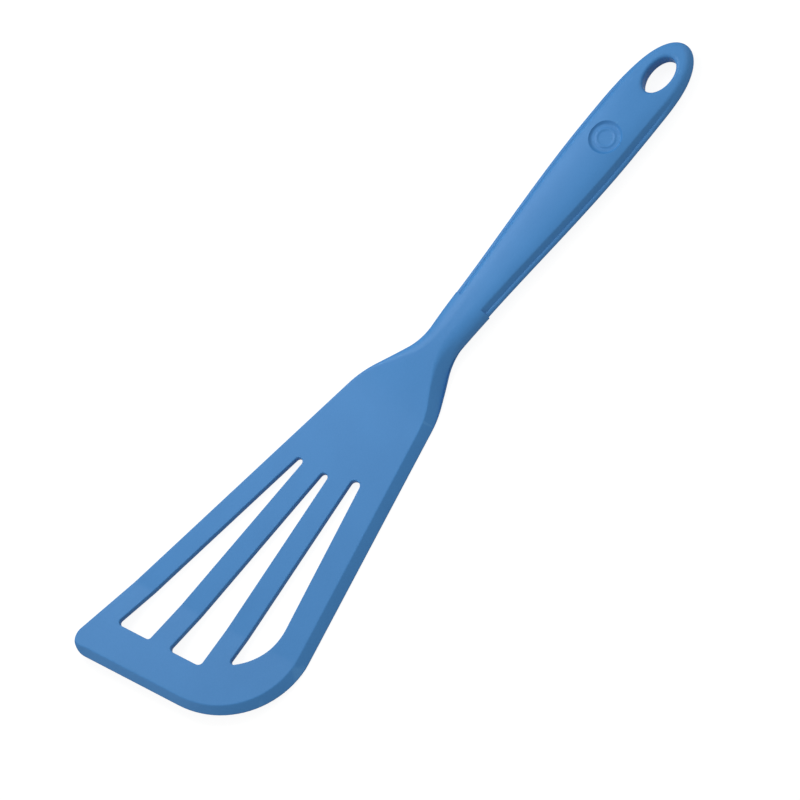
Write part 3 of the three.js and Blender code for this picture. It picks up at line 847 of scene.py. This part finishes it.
def blade_mesh(name):
    vertices = []
    faces = []

    def add(plan, height):
        vertices.append((plan.x + joint_place.x, plan.y + joint_place.y, height))
        return len(vertices) - 1

    def add_strips(rings, closed, flip):
        """Faces between neighbouring rings of an edge."""
        for index in range(len(rings) if closed else len(rings) - 1):
            near = rings[index]
            far = rings[(index + 1) % len(rings)]
            for step in range(len(near) - 1):
                face = (near[step], far[step], far[step + 1], near[step + 1])
                faces.append(face[::-1] if flip else face)

    outline = blade_outline()
    plan = [entry[0] for entry in outline]
    rim = []
    for (point, bevel, widening), outward in zip(outline, outward_directions(plan, False)):
        share = neck_share(point.x)
        bevel_width = between(front_bevel_width, side_bevel_width, widening)
        plate_run = between(left_edge_radius, bevel_width, bevel)
        run = between(plate_run, neck_top_run, share)
        inner = point - outward * run
        top = thickness_at(inner.x)
        plate_side_top = between(plate_thickness - left_edge_radius, bevel_edge, bevel)
        side_top = between(plate_side_top, top - neck_top_drop, share)
        under = between(plate_under_radius, neck_under_radius, share)
        straightness = bevel * smoothstep(point.x, bevel_from_joint, bevel_full_from_joint)
        ring = []
        for inset, height in edge_profile(under, side_top, run, top, straightness):
            place = point - outward * inset
            ring.append(add(place, height + lip_lift(place)))
        rim.append(ring)
    add_strips(rim, False, False)

    slot_section = edge_profile(
        slot_edge_radius,
        plate_thickness - slot_edge_radius,
        slot_edge_radius,
        plate_thickness,
        0.0,
    )
    slots = []
    for loop in blade_slots():
        rings = []
        for point, inward in zip(loop, outward_directions(loop, True)):
            ring = []
            for inset, height in slot_section:
                place = point + inward * inset
                if height > plate_thickness / 2:
                    height += thickness_at(place.x) - plate_thickness
                ring.append(add(place, height + lip_lift(place)))
            rings.append(ring)
        add_strips(rings, True, True)
        slots.append(rings)

    def plan_of(vertex):
        return Vector(vertices[vertex][:2]) - joint_place.xy

    def skin(level, height_at, flip):
        """Fills the top or the underside between the innermost rings of all edges."""
        joint_half = plan_of(rim[-1][level]).y
        across = []
        for step in range(1, 2 * joint_steps):
            place = Vector((0.0, joint_half * (1.0 - step / joint_steps)))
            across.append(add(place, height_at(place)))
        loops = [[ring[level] for ring in rim] + across]
        loops += [[ring[level] for ring in rings] for rings in slots]
        chosen = []
        edges = []
        for loop in loops:
            first = len(chosen)
            chosen += loop
            edges += [(first + step, first + (step + 1) % len(loop)) for step in range(len(loop))]
        on_edge = len(chosen)
        plans = [[plan_of(vertex) for vertex in loop] for loop in loops]
        nearby = KDTree(on_edge)
        for index, vertex in enumerate(chosen):
            nearby.insert((*plan_of(vertex), 0.0), index)
        nearby.balance()

        def in_silicone(place):
            if not encloses(plans[0], place):
                return False
            return not any(encloses(slot, place) for slot in plans[1:])

        for place in surface_places():
            to_edge = nearby.find((*place, 0.0))[2]
            if to_edge > surface_from_edge * surface_spacing and in_silicone(place):
                chosen.append(add(place, height_at(place)))
        places = [plan_of(vertex) for vertex in chosen]
        filled = delaunay_2d_cdt(places, edges, [], fill_inside, fill_tolerance)
        triangles = filled[2]
        origins = filled[3]
        for triangle in triangles:
            corners = [origins[corner][0] for corner in triangle]
            middle = sum((places[corner] for corner in corners), Vector((0.0, 0.0))) / 3
            if min(corners) < on_edge and not in_silicone(middle):
                continue
            face = tuple(chosen[corner] for corner in corners)
            faces.append(face[::-1] if flip else face)
        return across

    # Top and underside, and then the flat joint face that meets the handle
    across_top = skin(-1, top_height, False)
    across_under = skin(0, lip_lift, True)
    faces.append(tuple(across_top[::-1] + rim[-1][::-1] + across_under + rim[0]))

    mesh = bpy.data.meshes.new(name)
    mesh.from_pydata(vertices, [], faces)
    mesh.validate()
    return mesh


blade = bpy.data.objects.new("blade_silicone", blade_mesh("blade_silicone"))
bpy.context.scene.collection.objects.link(blade)
blade.data.materials.append(silicone_finish("blade_silicone", blade_roughness))
shade_softly(blade.data, blade_sharpest_turn)
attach(blade, "root")
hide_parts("blade")

# Studio table: a wide matt white sheet that the turner lies on. The camera sees it nearly white,
# and it keeps the soft shadow of the turner.
table_half_width = 3.0
table_gap = 0.0002
table_white = (0.42, 0.42, 0.42, 1.0)
table_fleck = (0.40, 0.40, 0.40, 1.0)
table_fibres_per_metre = 300.0
table_fibre_detail = 2.0
table_glow = 0.89
table_shadow = (0.18, 0.18, 0.18, 1.0)


def table_finish():
    material, nodes = new_finish("studio_table")
    ray = nodes.node("ShaderNodeLightPath", output="Is Camera Ray")
    seen = ray.math("MAXIMUM", ray.also("Is Glossy Ray"))
    seen = seen.math("MAXIMUM", ray.also("Is Transmission Ray"))
    place = nodes.node("ShaderNodeTexCoord", output="Object")
    fibre = nodes.noise(place, table_fibres_per_metre, table_fibre_detail)
    paper = fibre.blended(table_white, table_fleck)
    lit = nodes.node("ShaderNodeBsdfDiffuse", None, {"Color": paper})
    glow = nodes.node("ShaderNodeEmission", None, {"Strength": table_glow})
    shaded = nodes.node("ShaderNodeBsdfDiffuse", None, {"Color": table_shadow})
    bright = nodes.node("ShaderNodeAddShader", None, {0: glow, 1: shaded})
    surface = nodes.node("ShaderNodeMixShader", None, {"Fac": seen, 1: lit, 2: bright})
    nodes.node("ShaderNodeOutputMaterial", None, {"Surface": surface})
    return material


table_mesh = bpy.data.meshes.new("studio_table")
table_mesh.from_pydata(
    [
        (-table_half_width, -table_half_width, -table_gap),
        (table_half_width, -table_half_width, -table_gap),
        (table_half_width, table_half_width, -table_gap),
        (-table_half_width, table_half_width, -table_gap),
    ],
    [],
    [(0, 1, 2, 3)],
)
table = bpy.data.objects.new("studio_table", table_mesh)
bpy.context.scene.collection.objects.link(table)
table.data.materials.append(table_finish())

# Studio light: one soft box to the left of the turner, two fainter ones behind its butt and in
# front of its blade, and an even white room round them.
room_white = (1.0, 1.0, 1.0, 1.0)
room_strength = 0.51


def soft_box(name, place, width, power):
    """A round area light that faces the turner."""
    lamp = bpy.data.lights.new(name, "AREA")
    lamp.shape = "DISK"
    lamp.size = width
    lamp.energy = power
    box = bpy.data.objects.new(name, lamp)
    bpy.context.scene.collection.objects.link(box)
    box.location = place
    box.rotation_euler = Vector(place).to_track_quat("Z", "Y").to_euler()


soft_box("side_light", place=(-0.045, -0.29, 0.325), width=0.28, power=1.11)
soft_box("butt_light", place=(-1.149, 0.0, 0.964), width=0.9, power=4.1)
soft_box("front_light", place=(1.05, -0.25, 0.55), width=0.9, power=2.5)

world = bpy.data.worlds.new("studio_room")
bpy.context.scene.world = world
world.use_nodes = True
world.node_tree.nodes.clear()
room = Value(world.node_tree)
even = room.node("ShaderNodeBackground", None, {"Color": room_white, "Strength": room_strength})
room.node("ShaderNodeOutputWorld", None, {"Surface": even})
